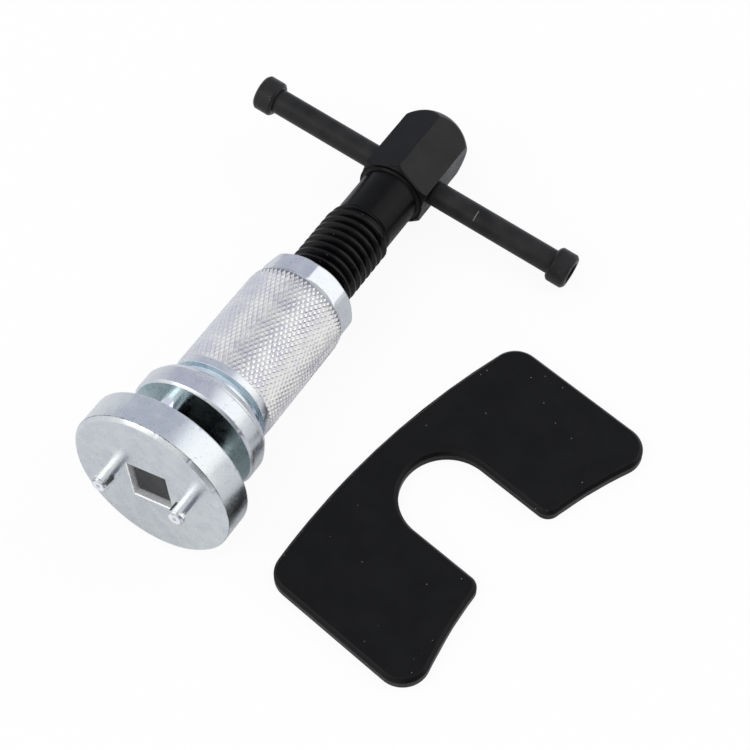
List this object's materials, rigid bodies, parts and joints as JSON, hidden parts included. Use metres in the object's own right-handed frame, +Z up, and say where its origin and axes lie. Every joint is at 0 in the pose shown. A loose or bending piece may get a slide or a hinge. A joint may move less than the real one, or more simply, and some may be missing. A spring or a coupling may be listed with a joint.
{
  "type": "brake caliper piston tool",
  "caption": "Hand screw that winds a disc brake's caliper piston back in, with a magnetic disc adaptor on its nose and a U-shaped reaction plate beside it.",
  "frame": {"origin": "on the bench, under the middle of the outline of the tool and the plate lying beside it", "axes": "+Z up; +Y along the tool in plan, from the adaptor towards the screw's head; +X to the right, towards the plate"},
  "size_m": [0.119, 0.1256, 0.0382],
  "materials": {
    "zinc_sleeve": "bright zinc plate",
    "zinc_disc": "bright zinc plate",
    "zinc_adaptor": "bright zinc plate",
    "pin_steel": "bright zinc plate",
    "black_screw": "black, satin",
    "black_bar": "black, satin",
    "black_plate": "black, satin",
    "magnet": "dark, satin"
  },
  "bodies": {
    "sleeve_body": {"sleeve": "zinc_sleeve"},
    "carriage": {"magnet": "magnet"},
    "screw": {"spindle": "black_screw", "drive_disc": "zinc_disc", "drive_pin_a": "pin_steel", "drive_pin_b": "pin_steel", "disc_lock_pin": "pin_steel"},
    "handle": {"tommy_bar": "black_bar", "bar_cap_left": "black_bar", "bar_cap_right": "black_bar"},
    "adaptor": {"adaptor_disc": "zinc_adaptor", "piston_pin_a": "pin_steel", "piston_pin_b": "pin_steel"},
    "plate": {"reaction_plate": "black_plate"}
  },
  "joints": [
    {"name": "screw_travel", "type": "slide", "parent": "sleeve_body", "child": "carriage", "axis": [0, -0.9959, 0.0903], "range_m": [0, 0.022]},
    {"name": "screw_turn", "type": "hinge", "parent": "carriage", "child": "screw", "pos_m": [-0.01978, 0.0445, 0.01022], "axis": [0, -0.9959, 0.0903], "range_deg": [0, 3600]},
    {"name": "bar_slide", "type": "slide", "parent": "screw", "child": "handle", "axis": [0.9902, -0.0126, -0.1389], "range_m": [-0.0312, 0.0266]},
    {"name": "adaptor_pull", "type": "slide", "parent": "screw", "child": "adaptor", "axis": [0, -0.9959, 0.0903], "range_m": [0, 0.015]},
    {"name": "plate_lift", "type": "slide", "parent": "sleeve_body", "child": "plate", "axis": [0, 0, 1], "range_m": [0, 0.03]}
  ],
  "couplings": [
    {"joint": "screw_travel", "follows": "screw_turn", "m_per_rad": 0.00035014}
  ]
}
